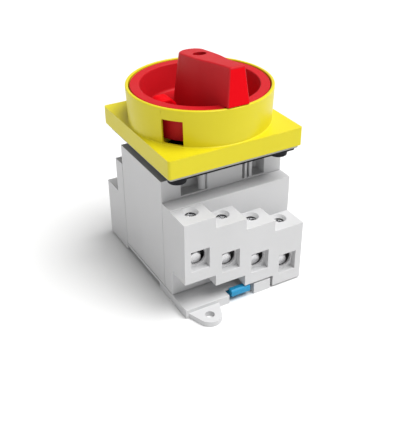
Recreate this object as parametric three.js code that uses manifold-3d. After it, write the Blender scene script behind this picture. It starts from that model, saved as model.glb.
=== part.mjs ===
// Four-pole rotary isolator switch for a 35 mm rail, with a locking rotary handle on a square plate.
// Millimetres, +Z up. Origin: centre of the underside. X runs along the terminal row, -Y is the front.
// The switch body repeats itself under a half turn about Z: the rear terminals are the front ones turned.
import * as THREE from 'three'
import { mergeVertices } from 'three/addons/utils/BufferGeometryUtils.js'
import Module from 'manifold-3d'

const wasm = await Module()
wasm.setup()

// ---------- driving dimensions ----------
const GAP = 0.3                 // clearance between neighbouring pieces
const LAP = 1                   // joined shapes and cutting tools run past each other by this much
const POLES = 4
const POLE_PITCH = 15.2         // terminal to terminal
const HALF_W = POLES * POLE_PITCH / 2
const LEVEL = 5.7               // each pole sits this much lower than the one on its left
const BLOCK_FRONT = 40.5        // terminal faces, front and rear
const SHELF_FRONT = 28.1        // shelf above the terminal blocks
const CORE_Y = 20.4             // half depth of the central housing
const BASE_TOP = 4.4
const BLOCK_BOTTOM = 17.9       // underside of the highest terminal block
const BLOCK_TOP = 48.0
const SHELF_TOP = 48.6
const HOUSING_TOP = 58.8
const WALL = 1.8

// terminals, heights given for the highest pole
const TERMINAL_Y = 32           // screw axis, behind the terminal face
const WINDOW = { width: 9, low: 23.7, high: 33.7, depth: 3 }
const WIRE_HOLE_R = 4.1
const WINDOW_BACK = 1.2         // wall that the wire hole goes through
const CHAMBER = { half: 6.2, low: 19.1, high: 46.4 }
const SCREW_HOLE_R = 2.3
const FUNNEL_R = 3.5            // the screw hole opens to this at the top of its block
const CAGE = { half: 5.4, low: 28.4, high: 41.6, wall: 1.4, front: 34.6, back: 28.2, hole: 2.3 }
const JAW = { r: 3.3, z: 26.8, front: 36 }
const BAR = { low: 31.8, high: 33.2, half: 3.2, front: 33.8 }
const SCREW = { tip: 33.5, shoulder: 43.5, top: 46, r: 2, headR: 2.7 }
const CROSS_SLOT = { width: 0.9, reach: 2, depth: 1.4 }

// deck stack: one contact deck for each pole
const DECK = { x: 28.1, y: 18.1, floor: 29.7, seat: 31.5, top: 35.1, rim: 1.8, channel: 3.6 }
const CROSS = { front: 15.9, back: 12.6, end: 2.4 }
const ROTOR_R = 7.2
const ROTOR_LOW = 29.8
const ROTOR_LUG = { x0: 5.8, x1: 6.8, half: 2.2, rise: 0.3 } // drives the blade by its hub
const BLADE = { low: 33.5, high: 34.5, reach: 11.6, half: 2.4, hub: 5.5 }
const CONTACT_TIP = 8.6
const SHAFT = 6                 // square shaft, side
const SHAFT_BORE = SHAFT + 2 * GAP
const PARTITION = { low: 35.6, high: 37.2 }

// front plate, collar and handle
const PLATE = 65
const PLATE_CORNER = 1.2
const PLATE_EDGE = 0.9          // bevel of the plate's top edge
const PLATE_WALL = 2.2
const PLATE_SKIN = 2.3
const PLATE_BOTTOM = 65.8
const PLATE_TOP = 74.1
const COLLAR = { footR: 31.7, rimR: 32.4, wall: 1.4, top: 90.4, edge: 0.4 }
const LOCK_WINDOW = { width: 9.4, low: 74.3, high: 85.4, angle: -140 }
const SHACKLE_SLOT = { r0: 21.5, r1: 30, half: 4.7 } // a padlock's shackle passes down through the plate here
const HANDLE_THROW = -90        // the handle turns clockwise by this much, and its slot meets the window
const LUG = { low: 60.3, offset: 25.2, r: 4.6, rearLow: 60.9, rearR: 3.9, taper: 0.6 }
const SOCKET = { x: 16, y: 11 } // block under the backing plate that sits on the housing
const BACKING = { half: 30.6, low: 63.1, high: 64.2, gasketHalf: 31.6, gasketOpening: 18.6, openingR: 2 }
const BOWL = {
  rimR: 30.5, wallR: 27.2, insideR: 26.2, floorR: 24.4, bottom: 74.5, floor: 78.1, flange: 87.6, top: 90.1,
  edge: 0.4, fillet: 1, skin: 0.5,
}
// top outline of the grip; its walls lean outwards by the draft on the way down to the bowl
const GRIP = {
  backR: 5.9, backY: 6.6, waist: 5.3, waistY: -10, tipHalf: 3.7, tipY: -30.6, tipTop: 106.8, rise: 0.132,
}
const GRIP_DRAFT = 3
const GRIP_EDGE = 0.9           // rounding of the grip's top edge
const GRIP_CLEAR = 90.8         // underside of the pointer where it passes over the collar
const SLIDER = { x0: -23.4, x1: -13, half: 3.8, low: 74.7, top: 87, chamfer: 2.8 }

const deg = (angle) => angle * Math.PI / 180
const poleX = (pole) => (pole + 0.5) * POLE_PITCH - HALF_W
const drop = (pole) => -pole * LEVEL

// ---------- colours ----------
const colours = {
  housing: ['#d9dadb', 0.45, 0],
  yellow: ['#f4e51f', 0.4, 0],
  red: ['#d8141f', 0.38, 0],
  black: ['#1c1d20', 0.5, 0],
  gasket: ['#a9a9a6', 0.8, 0],
  deck: ['#3c4046', 0.6, 0],
  rotor: ['#e8e4d8', 0.5, 0],
  blue: ['#1f87cc', 0.4, 0],
  steel: ['#b9bcc0', 0.3, 1],
  copper: ['#c98a54', 0.3, 1],
}

// ---------- geometry helpers ----------
const toSolid = (geometry) => {
  const plain = geometry.clone()
  plain.deleteAttribute('normal')
  plain.deleteAttribute('uv')
  const merged = mergeVertices(plain, 1e-4)
  return new wasm.Manifold(new wasm.Mesh({
    numProp: 3,
    vertProperties: new Float32Array(merged.attributes.position.array),
    triVerts: new Uint32Array(merged.index.array),
  }))
}

const toGeometry = (solid) => {
  const mesh = solid.getMesh()
  const geometry = new THREE.BufferGeometry()
  geometry.setAttribute('position', new THREE.BufferAttribute(new Float32Array(mesh.vertProperties), 3))
  geometry.setIndex(new THREE.BufferAttribute(new Uint32Array(mesh.triVerts), 1))
  return geometry
}

const join = (...shapes) => toGeometry(shapes.map(toSolid).reduce((all, next) => all.add(next)))
const cut = (shape, ...tools) =>
  toGeometry(tools.map(toSolid).reduce((all, next) => all.subtract(next), toSolid(shape)))
const common = (shape, other) => toGeometry(toSolid(shape).intersect(toSolid(other)))

// box between two corners
const box = (x0, x1, y0, y1, z0, z1) =>
  new THREE.BoxGeometry(x1 - x0, y1 - y0, z1 - z0).translate((x0 + x1) / 2, (y0 + y1) / 2, (z0 + z1) / 2)

// upright cylinder or cone from z0 (radius r0) to z1 (radius r1)
const post = (r0, r1, z0, z1, x = 0, y = 0, sides = 20) =>
  new THREE.CylinderGeometry(r1, r0, z1 - z0, sides).rotateX(Math.PI / 2).translate(x, y, (z0 + z1) / 2)

// cylinder lying along Y
const rodY = (r, y0, y1, x, z, sides = 20) =>
  new THREE.CylinderGeometry(r, r, y1 - y0, sides).translate(x, (y0 + y1) / 2, z)

// cylinder lying along X
const rodX = (r, x0, x1, y, z, sides = 12) =>
  new THREE.CylinderGeometry(r, r, x1 - x0, sides).rotateZ(Math.PI / 2).translate((x0 + x1) / 2, y, z)

const revolve = (points, sides = 64) =>
  new THREE.LatheGeometry(points.map(([r, z]) => new THREE.Vector2(r, z)), sides).rotateX(Math.PI / 2)

// prism of an XY outline between two heights
const prism = (shape, z0, z1, curveSegments = 6) =>
  new THREE.ExtrudeGeometry(shape, { depth: z1 - z0, bevelEnabled: false, curveSegments }).translate(0, 0, z0)

const polygon = (points) => new THREE.Shape(points.map(([x, y]) => new THREE.Vector2(x, y)))

const roundedSquare = (half, r) => {
  const shape = new THREE.Shape()
  for (const [x, y, start] of [[1, 1, 0], [-1, 1, 90], [-1, -1, 180], [1, -1, 270]]) {
    shape.absarc(x * (half - r), y * (half - r), r, deg(start), deg(start + 90), false)
  }
  shape.closePath()
  return shape
}

const halfTurn = (geometry) => geometry.clone().rotateZ(Math.PI)
const bothSides = (geometry) => [geometry, halfTurn(geometry)]

// ---------- assembly ----------
const isolator = new THREE.Group()
isolator.name = 'rotary_isolator_switch'

const add = (name, geometry, look) => {
  const [color, roughness, metalness] = colours[look]
  const mesh = new THREE.Mesh(geometry, new THREE.MeshStandardMaterial({ color, roughness, metalness }))
  mesh.name = name
  isolator.add(mesh)
}

// ---------- base with rail recess and mounting ears ----------
const RAIL = { front: -14.7, back: 20.8, seat: 2.5, ceiling: 2.8, hookDepth: 1.5, hookTop: 1.3 }
const TONGUE_X = -8.3           // inner end of the base tongue, left of the clip
const FOOT = { x0: 5, x1: 13.9, top: 5.7, clearance: 0.8 }
const TONGUE_FRONT = -40.9       // the tongues stand a little proud of the terminal faces
const EAR = { x: -21.4, y: -45.9, r: 5.5, holeR: 2.1, top: 2.6, spread: 8.2, start: 195, end: 345 }
const BRIDGE_FRONT = -36.4      // front edge of the strip that covers the clip
const PEDESTAL = { wall: 3, top: 12.3 }
const BEARING = { r: 3.4, floor: 4.6, outerR: 6.5, top: 7.6 }
const PAD = { x: 19, half: 8, inset: 3 }

const earPlate = () => {
  const shape = new THREE.Shape()
  const start = deg(EAR.start)
  shape.moveTo(EAR.x - EAR.spread, -BLOCK_FRONT + LAP)
  shape.lineTo(EAR.x + EAR.r * Math.cos(start), EAR.y + EAR.r * Math.sin(start))
  shape.absarc(EAR.x, EAR.y, EAR.r, start, deg(EAR.end), false)
  shape.lineTo(EAR.x + EAR.spread, -BLOCK_FRONT + LAP)
  shape.closePath()
  return prism(shape, 0, EAR.top, 12)
}

const base = () => {
  const tongue = box(-HALF_W, TONGUE_X, TONGUE_FRONT, -CORE_Y + LAP, 0, BASE_TOP)
  const foot = join(
    box(FOOT.x0, FOOT.x1, -BLOCK_FRONT, -CORE_Y - GAP, 0, FOOT.top),
    box(FOOT.x0, FOOT.x1, -BLOCK_FRONT, -CORE_Y + LAP, 0, BASE_TOP),
  )
  const ring = cut(
    box(-DECK.x, DECK.x, -DECK.y, DECK.y, BASE_TOP - LAP, PEDESTAL.top),
    box(
      -DECK.x + PEDESTAL.wall, DECK.x - PEDESTAL.wall, -DECK.y + PEDESTAL.wall, DECK.y - PEDESTAL.wall,
      0, PEDESTAL.top + LAP,
    ),
  )
  const bearing = cut(
    post(BEARING.outerR, BEARING.outerR, BASE_TOP - LAP, BEARING.top),
    post(BEARING.r, BEARING.r, BEARING.floor, BEARING.top + LAP),
  )
  const bridge = box(TONGUE_X - LAP, FOOT.x0 + LAP, BRIDGE_FRONT, -CORE_Y + LAP, CLIP.bodyTop + GAP, BASE_TOP)
  const plate = join(
    box(-HALF_W, HALF_W, -CORE_Y, CORE_Y, 0, BASE_TOP),
    bridge, ...bothSides(tongue), ...bothSides(foot), ...bothSides(earPlate()), ring,
  )
  const recess = box(-HALF_W - LAP, HALF_W + LAP, RAIL.front, RAIL.back, -1, RAIL.ceiling)
  const hookBack = RAIL.back + RAIL.hookDepth
  const hook = box(-HALF_W - LAP, HALF_W + LAP, RAIL.back - LAP, hookBack, RAIL.hookTop, RAIL.ceiling)
  const clipSlot = box(CLIP.x0 - GAP, CLIP.x1 + GAP, -CORE_Y - LAP, RAIL.front + LAP, -1, CLIP.bodyTop + GAP)
  const earHoles = bothSides(post(EAR.holeR, EAR.holeR, -1, EAR.top + LAP, EAR.x, EAR.y))
  const pads = [-PAD.x, PAD.x].map((x) => box(
    x - PAD.half, x + PAD.half, RAIL.front + PAD.inset, RAIL.back - PAD.inset, RAIL.seat, RAIL.ceiling + GAP,
  ))
  const bearingFloor = post(BEARING.r, BEARING.r, BASE_TOP - GAP, BEARING.floor + GAP)
  return join(cut(plate, recess, hook, clipSlot, bearingFloor, ...earHoles), ...pads, bearing)
}

// ---------- rail clip ----------
const CLIP = {
  x0: -6.9, x1: 3, front: -40.6, tabBack: -37.6, tabLow: 2.8, ramp: 4, tabTop: 6, bodyLow: 0.5, bodyTop: 3.2,
  nose: 2, edge: 0.8,
}

const railClip = () => {
  const outline = polygon([
    [CLIP.front, CLIP.tabLow], [CLIP.front + CLIP.ramp, CLIP.bodyLow], [RAIL.front + CLIP.nose, CLIP.bodyLow],
    [RAIL.front + CLIP.nose, CLIP.bodyLow + CLIP.edge], [RAIL.front - GAP, CLIP.bodyLow + CLIP.edge],
    [RAIL.front - GAP, CLIP.bodyTop], [CLIP.tabBack, CLIP.bodyTop], [CLIP.tabBack, CLIP.tabTop],
    [CLIP.front + CLIP.edge, CLIP.tabTop], [CLIP.front, CLIP.tabTop - CLIP.edge],
  ])
  return prism(outline, CLIP.x0, CLIP.x1).rotateY(Math.PI / 2).rotateX(Math.PI / 2)
}

// ---------- terminal shells ----------
const terminalShell = () => {
  const undersides = [
    [-HALF_W, TONGUE_X, BASE_TOP + GAP],
    [TONGUE_X, POLE_PITCH, FOOT.top + FOOT.clearance],
    [POLE_PITCH, HALF_W, FOOT.clearance],
  ]
  const backs = undersides.map(([x0, x1, z0]) => box(x0, x1, -SHELF_FRONT, -CORE_Y - GAP, z0, SHELF_TOP))
  const blocks = []
  const tools = []
  for (let pole = 0; pole < POLES; pole++) {
    const x = poleX(pole)
    const dz = drop(pole)
    const half = POLE_PITCH / 2
    const windowBack = -BLOCK_FRONT + WINDOW.depth
    const windowHalf = WINDOW.width / 2
    const windowMiddle = (WINDOW.low + WINDOW.high) / 2 + dz
    blocks.push(box(x - half, x + half, -BLOCK_FRONT, -SHELF_FRONT + LAP, BLOCK_BOTTOM + dz, BLOCK_TOP + dz))
    tools.push(
      box(x - windowHalf, x + windowHalf, -BLOCK_FRONT - LAP, windowBack, WINDOW.low + dz, WINDOW.high + dz),
      rodY(WIRE_HOLE_R, windowBack - LAP, windowBack + WINDOW_BACK + LAP, x, windowMiddle),
      box(
        x - CHAMBER.half, x + CHAMBER.half, windowBack + WINDOW_BACK, -CORE_Y,
        CHAMBER.low + dz, CHAMBER.high + dz,
      ),
      post(SCREW_HOLE_R, SCREW_HOLE_R, CHAMBER.high - LAP + dz, CHAMBER.high + GAP + dz, x, -TERMINAL_Y),
      post(SCREW_HOLE_R, FUNNEL_R, CHAMBER.high + dz, BLOCK_TOP + dz, x, -TERMINAL_Y),
    )
  }
  return cut(join(...backs, ...blocks), ...tools)
}

// sliding cage, shown closed; the round jaw on its front stands behind the wire hole
const clampCage = (pole) => {
  const x = poleX(pole)
  const dz = drop(pole)
  const outer = box(x - CAGE.half, x + CAGE.half, -CAGE.front, -CAGE.back, CAGE.low + dz, CAGE.high + dz)
  const roof = CAGE.high - CAGE.wall + dz
  const jaw = rodY(JAW.r, -JAW.front, -CAGE.front + CAGE.wall / 2, x, JAW.z + dz, 24)
  const inner = box(
    x - CAGE.half + CAGE.wall, x + CAGE.half - CAGE.wall, -CAGE.front - LAP, -CAGE.back + LAP,
    CAGE.low + CAGE.wall + dz, roof,
  )
  const screwHole = post(CAGE.hole, CAGE.hole, roof - LAP, CAGE.high + LAP + dz, x, -TERMINAL_Y, 16)
  return join(cut(outer, inner, screwHole), jaw)
}

const terminalScrew = (pole) => {
  const x = poleX(pole)
  const dz = drop(pole)
  const body = join(
    post(SCREW.r, SCREW.r, SCREW.tip + dz, SCREW.shoulder + LAP + dz, x, -TERMINAL_Y, 12),
    post(SCREW.headR, SCREW.headR, SCREW.shoulder + dz, SCREW.top + dz, x, -TERMINAL_Y, 16),
  )
  const arm = CROSS_SLOT.width / 2
  const { reach } = CROSS_SLOT
  const depth = SCREW.top - CROSS_SLOT.depth + dz
  return cut(
    body,
    box(x - reach, x + reach, -TERMINAL_Y - arm, -TERMINAL_Y + arm, depth, SCREW.top + LAP + dz),
    box(x - arm, x + arm, -TERMINAL_Y - reach, -TERMINAL_Y + reach, depth, SCREW.top + LAP + dz),
  )
}

// flat bar from the clamp to the blade: along Y, across to the middle, then a tip facing the rotor
const fixedContact = (pole) => {
  const x = poleX(pole)
  const low = BAR.low + drop(pole)
  const high = BAR.high + drop(pole)
  return join(
    box(x - BAR.half, x + BAR.half, -BAR.front, -CROSS.back, low, high),
    box(Math.min(x, 0) - CROSS.end, Math.max(x, 0) + CROSS.end, -CROSS.front, -CROSS.back, low, high),
    box(-BLADE.half, BLADE.half, -CROSS.front, -CONTACT_TIP, low, high),
  )
}

// ---------- central housing ----------
const POCKETS = [
  { x0: -21, x1: -8, depth: 6.4 },
  { x0: 10, x1: 11.2, depth: 4 },
  { x0: 12.4, x1: 13.6, depth: 4 },
  { x0: 15, x1: 21.4, depth: 6.4 },
]
const POCKET_LOW = 49.4
const POCKET_POST = { x: -9.6, r: 1.8, inset: 2.2 }
const MECHANISM = { x: 24, y: 12, floor: 48.4, coverLow: 56.6, coverTop: 58.6 }
const BAR_SLOT = 3.8            // half width of the slots the contact bars pass through
const BAR_CLEAR = 0.4
const SHAFT_HOLE_R = 5

const housing = () => {
  const block = box(-HALF_W, HALF_W, -CORE_Y, CORE_Y, BASE_TOP + GAP, HOUSING_TOP)
  const inX = HALF_W - WALL
  const inY = CORE_Y - WALL
  const hollows = [
    box(-inX, inX, -inY, inY, 0, PARTITION.low),
    box(-inX, inX, -inY, inY, PARTITION.high, MECHANISM.floor),
    box(-MECHANISM.x, MECHANISM.x, -MECHANISM.y, MECHANISM.y, PARTITION.high, HOUSING_TOP + LAP),
    post(SHAFT_HOLE_R, SHAFT_HOLE_R, PARTITION.low - LAP, PARTITION.high + LAP),
  ]
  const slots = []
  for (let pole = 0; pole < POLES; pole++) {
    const x = poleX(pole)
    const low = BAR.low - BAR_CLEAR + drop(pole)
    const high = BAR.high + BAR_CLEAR + drop(pole)
    slots.push(box(x - BAR_SLOT, x + BAR_SLOT, -CORE_Y - LAP, -inY + LAP, low, high))
  }
  const pockets = POCKETS.map(({ x0, x1, depth }) =>
    box(x0, x1, -CORE_Y - LAP, -CORE_Y + depth, POCKET_LOW, HOUSING_TOP + LAP))
  const pegY = -CORE_Y + POCKET_POST.inset
  const peg = post(POCKET_POST.r, POCKET_POST.r, POCKET_LOW - LAP, HOUSING_TOP, POCKET_POST.x, pegY, 16)
  const openings = [...slots, ...pockets].flatMap(bothSides)
  return join(cut(block, ...hollows, ...openings), ...bothSides(peg))
}

const mechanismCover = () => cut(
  box(
    -MECHANISM.x + GAP, MECHANISM.x - GAP, -MECHANISM.y + GAP, MECHANISM.y - GAP,
    MECHANISM.coverLow, MECHANISM.coverTop,
  ),
  post(SHAFT_HOLE_R, SHAFT_HOLE_R, MECHANISM.coverLow - LAP, MECHANISM.coverTop + LAP),
)

// ---------- contact decks ----------
const contactDeck = (pole) => {
  const dz = drop(pole)
  const pocket = box(
    -DECK.x + DECK.rim, DECK.x - DECK.rim, -DECK.y + DECK.rim, DECK.y - DECK.rim,
    DECK.seat + dz, DECK.top + LAP + dz,
  )
  const x = poleX(pole)
  const channel = box(
    x - DECK.channel, x + DECK.channel, -DECK.y - LAP, -DECK.y + DECK.rim + LAP,
    DECK.seat + dz, DECK.top + LAP + dz,
  )
  const holeR = ROTOR_R + GAP
  return cut(
    box(-DECK.x, DECK.x, -DECK.y, DECK.y, DECK.floor + dz, DECK.top + dz),
    pocket, ...bothSides(channel), post(holeR, holeR, DECK.floor - LAP + dz, DECK.seat + LAP + dz, 0, 0, 24),
  )
}

const squareBore = (side, z0, z1) => box(-side / 2, side / 2, -side / 2, side / 2, z0, z1)

const rotor = (pole) => {
  const dz = drop(pole)
  const { x0, x1, half, rise } = ROTOR_LUG
  const lug = box(x0, x1, -half, half, BLADE.low - LAP + dz, BLADE.high + rise + dz)
  return cut(
    join(post(ROTOR_R, ROTOR_R, ROTOR_LOW + dz, BLADE.low - GAP + dz, 0, 0, 24), ...bothSides(lug)),
    squareBore(SHAFT_BORE, 0, HOUSING_TOP),
  )
}

const movingContact = (pole) => {
  const low = BLADE.low + drop(pole)
  const high = BLADE.high + drop(pole)
  return cut(
    join(
      box(-BLADE.hub, BLADE.hub, -BLADE.hub, BLADE.hub, low, high),
      box(-BLADE.half, BLADE.half, -BLADE.reach, BLADE.reach, low, high),
    ),
    squareBore(SHAFT_BORE + GAP, 0, HOUSING_TOP),
  )
}

// ---------- shaft and detent ----------
const SHAFT_TOP = 86
const JOURNAL = { r: 3, low: 4.9, high: 9 } // round foot that turns in the base
const SHAFT_TAP = { r: 1.8, depth: 10 }
const CAM = { low: 40, high: 45.4, r: 8, lobe: 0.8, sides: 40 }
const PLUNGER = { tip: 9.1, shoulder: 15.1, end: 18.1, r: 2.2, z: 42.7, rodR: 1 }
const SPRING = { r: 1.9, wire: 0.35, turns: 4, x0: 15.4, x1: 26.2 }
const FRAME = {
  half: 4.6, guideX0: 11.2, guideX1: 15, stopX0: 26.5, stopX1: 28.2, thick: 1.6, top: 46.7, ringR: 13,
}

const shaft = () => cut(
  join(
    squareBore(SHAFT, JOURNAL.high - LAP, SHAFT_TOP),
    post(JOURNAL.r, JOURNAL.r, JOURNAL.low, JOURNAL.high),
  ),
  post(SHAFT_TAP.r, SHAFT_TAP.r, SHAFT_TOP - SHAFT_TAP.depth, SHAFT_TOP + LAP, 0, 0, 16),
)

const detentCam = () => {
  const shape = new THREE.Shape()
  for (let step = 0; step < CAM.sides; step++) {
    const angle = step / CAM.sides * 2 * Math.PI
    const r = CAM.r - CAM.lobe * Math.cos(4 * angle)
    shape[step ? 'lineTo' : 'moveTo'](r * Math.cos(angle), r * Math.sin(angle))
  }
  shape.closePath()
  return cut(prism(shape, CAM.low, CAM.high), squareBore(SHAFT_BORE, 0, HOUSING_TOP))
}

// right-hand plunger: rounded nose towards the cam, thin tail inside the spring
const detentPlunger = () => join(
  new THREE.SphereGeometry(PLUNGER.r, 12, 6).translate(PLUNGER.tip + PLUNGER.r, 0, PLUNGER.z),
  rodX(PLUNGER.r, PLUNGER.tip + PLUNGER.r, PLUNGER.shoulder, 0, PLUNGER.z),
  rodX(PLUNGER.rodR, PLUNGER.shoulder - LAP, PLUNGER.end, 0, PLUNGER.z),
)

class Helix extends THREE.Curve {
  getPoint(t) {
    const angle = t * SPRING.turns * 2 * Math.PI
    const x = THREE.MathUtils.lerp(SPRING.x0 + SPRING.wire, SPRING.x1 - SPRING.wire, t)
    return new THREE.Vector3(x, SPRING.r * Math.cos(angle), PLUNGER.z + SPRING.r * Math.sin(angle))
  }
}

const detentSpring = () => {
  const wire = new THREE.Shape().absarc(0, 0, SPRING.wire, 0, 2 * Math.PI)
  const steps = SPRING.turns * 10
  return new THREE.ExtrudeGeometry(wire, { steps, curveSegments: 3, extrudePath: new Helix() })
}

// guide block that carries both plungers and backs both springs
const detentFrame = () => {
  const { half, guideX0, guideX1, stopX0, stopX1, thick, top, ringR } = FRAME
  const low = PARTITION.high + GAP
  const guide = cut(
    box(guideX0, guideX1, -half, half, low, top),
    rodX(PLUNGER.r + GAP, guideX0 - LAP, guideX1 + LAP, 0, PLUNGER.z),
  )
  const backstop = box(stopX0, stopX1, -half, half, low, top)
  const rail = box(guideX0 + LAP, stopX1, -half, half, low, low + thick)
  const side = join(guide, backstop, rail)
  const ring = cut(
    post(ringR, ringR, low, low + thick, 0, 0, 32),
    post(SHAFT_HOLE_R, SHAFT_HOLE_R, low - LAP, low + thick + LAP),
  )
  return join(ring, ...bothSides(side))
}

// ---------- front plate, gasket and backing plate ----------
const SHAFT_CLEAR_R = 8

// cutting block for a padlock window, standing across a ring wall
const lockWindow = (insideR, low, angle) =>
  box(insideR, COLLAR.rimR + LAP, -LOCK_WINDOW.width / 2, LOCK_WINDOW.width / 2, low, LOCK_WINDOW.high)
    .rotateZ(deg(angle))

const cornerPoints = [[1, 1], [-1, 1], [-1, -1], [1, -1]].map(([x, y]) => [x * LUG.offset, y * LUG.offset])

const BOSS = { r: 3.4, pilotR: 1.6, low: 66, pilotTop: 71.6 }

// block with a square bevelled top edge: the widening pyramid stump trims the prism
const bevelledPlate = () => {
  const half = PLATE / 2
  const height = PLATE_TOP - PLATE_BOTTOM + LAP
  const narrow = (half - PLATE_EDGE) * Math.SQRT2
  const wide = narrow + height * Math.SQRT2
  const stump = new THREE.CylinderGeometry(narrow, wide, height, 4)
    .rotateY(Math.PI / 4).rotateX(Math.PI / 2).translate(0, 0, PLATE_TOP - height / 2)
  return common(prism(roundedSquare(half, PLATE_CORNER), PLATE_BOTTOM, PLATE_TOP), stump)
}

const frontPlate = () => {
  const { footR, rimR, wall, top, edge } = COLLAR
  const root = PLATE_TOP - LAP
  const collar = revolve([
    [footR - wall, root], [footR, root], [rimR, top - edge], [rimR - edge, top],
    [rimR - wall + edge, top], [rimR - wall, top - edge], [footR - wall, root],
  ])
  const pocketHalf = PLATE / 2 - PLATE_WALL
  const pocket = prism(roundedSquare(pocketHalf, PLATE_CORNER), PLATE_BOTTOM - LAP, PLATE_TOP - PLATE_SKIN)
  const bosses = cornerPoints.map(([x, y]) => cut(
    post(BOSS.r, BOSS.r, BOSS.low, PLATE_TOP - LAP, x, y, 16),
    post(BOSS.pilotR, BOSS.pilotR, BOSS.low - LAP, BOSS.pilotTop, x, y, 12),
  ))
  const shaftHole = post(SHAFT_CLEAR_R, SHAFT_CLEAR_R, PLATE_BOTTOM, PLATE_TOP + LAP, 0, 0, 24)
  const window = lockWindow(SHACKLE_SLOT.r1 - LAP, LOCK_WINDOW.low, LOCK_WINDOW.angle)
  const { r0, r1, half } = SHACKLE_SLOT
  const shackleSlot = box(r0, r1, -half, half, PLATE_BOTTOM, PLATE_TOP + LAP).rotateZ(deg(LOCK_WINDOW.angle))
  return cut(join(cut(bevelledPlate(), pocket), collar, ...bosses), shaftHole, window, shackleSlot)
}

const gasket = () => cut(
  prism(roundedSquare(BACKING.gasketHalf, PLATE_CORNER), BACKING.high + GAP, PLATE_BOTTOM - GAP),
  prism(roundedSquare(BACKING.gasketOpening, BACKING.openingR), BACKING.high, PLATE_BOTTOM),
  ...cornerPoints.map(([x, y]) =>
    post(PLATE_SCREW.clearR, PLATE_SCREW.clearR, BACKING.high, PLATE_BOTTOM, x, y, 12)),
)

// the two front lugs hang lower and are wider than the two rear ones
const lugLow = (y) => (y < 0 ? LUG.low : LUG.rearLow)
const lugR = (y) => (y < 0 ? LUG.r : LUG.rearR)
const PLATE_SCREW = { head: 1.8, headR: 2.6, recessR: 3, sunk: 0.2, r: 1.3, clearR: 1.9, tip: 70.8 }
const PLATE_SCREW_SLOT = { width: 0.8, half: 2, depth: 0.9 }
const screwLow = (y) => lugLow(y) + PLATE_SCREW.sunk

const backingPlate = () => cut(
  join(
    prism(roundedSquare(BACKING.half, PLATE_CORNER), BACKING.low, BACKING.high),
    box(-SOCKET.x, SOCKET.x, -SOCKET.y, SOCKET.y, HOUSING_TOP + GAP, BACKING.high),
    ...cornerPoints.map(([x, y]) =>
      post(lugR(y) - LUG.taper, lugR(y), lugLow(y), BACKING.low + GAP, x, y, 32)),
  ),
  post(SHAFT_CLEAR_R, SHAFT_CLEAR_R, HOUSING_TOP, PLATE_BOTTOM, 0, 0, 32),
  ...cornerPoints.map(([x, y]) =>
    post(PLATE_SCREW.clearR, PLATE_SCREW.clearR, LUG.low - LAP, PLATE_BOTTOM, x, y, 12)),
  ...cornerPoints.map(([x, y]) => {
    const roof = screwLow(y) + PLATE_SCREW.head + GAP
    return post(PLATE_SCREW.recessR, PLATE_SCREW.recessR, LUG.low - LAP, roof, x, y, 16)
  }),
)

const plateScrew = ([x, y]) => {
  const low = screwLow(y)
  const top = low + PLATE_SCREW.head
  const { width, half, depth } = PLATE_SCREW_SLOT
  return cut(
    join(
      post(PLATE_SCREW.headR, PLATE_SCREW.headR, low, top, x, y, 16),
      post(PLATE_SCREW.r, PLATE_SCREW.r, top - LAP / 2, PLATE_SCREW.tip, x, y, 12),
    ),
    box(x - half, x + half, y - width / 2, y + width / 2, low - LAP, low + depth),
  )
}

// ---------- handle ----------
// grip outline, round back to square pointer end, grown sideways by a given amount
const gripOutline = (grow) => {
  const { backR, backY, waist, waistY, tipHalf, tipY } = GRIP
  const shape = new THREE.Shape()
  shape.moveTo(-tipHalf - grow, tipY - grow)
  shape.lineTo(tipHalf + grow, tipY - grow)
  shape.quadraticCurveTo(tipHalf + grow, waistY * 2, waist + grow, waistY)
  shape.quadraticCurveTo(backR + grow, waistY / 2, backR + grow, backY)
  shape.absarc(0, backY, backR + grow, 0, Math.PI, false)
  shape.quadraticCurveTo(-backR - grow, waistY / 2, -waist - grow, waistY)
  shape.quadraticCurveTo(-tipHalf - grow, waistY * 2, -tipHalf - grow, tipY - grow)
  return shape.getPoints(8)
}

// lofted from the bowl floor to the sloping top through three outlines with matching points
const grip = () => {
  const foot = BOWL.floor - LAP
  const rings = [gripOutline(GRIP_DRAFT), gripOutline(0), gripOutline(-GRIP_EDGE)]
  const outline = new THREE.Shape(rings[0])
  const solid = new THREE.ExtrudeGeometry(outline, { depth: 2, steps: 2, bevelEnabled: false })
  const position = solid.attributes.position
  for (let i = 0; i < position.count; i++) {
    const ring = Math.round(position.getZ(i))
    const here = new THREE.Vector2(position.getX(i), position.getY(i))
    const place = rings[0].findIndex((point) => point.distanceTo(here) < 1e-4)
    const { x, y } = rings[ring][place]
    const top = GRIP.tipTop - GRIP.rise * (y - GRIP.tipY)
    position.setXYZ(i, x, y, [foot, top - GRIP_EDGE, top][ring])
  }
  return solid
}

const HANDLE_BORE = { r: 3, low: 91.5, pilotR: 1.9, socketTop: 87 }

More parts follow.
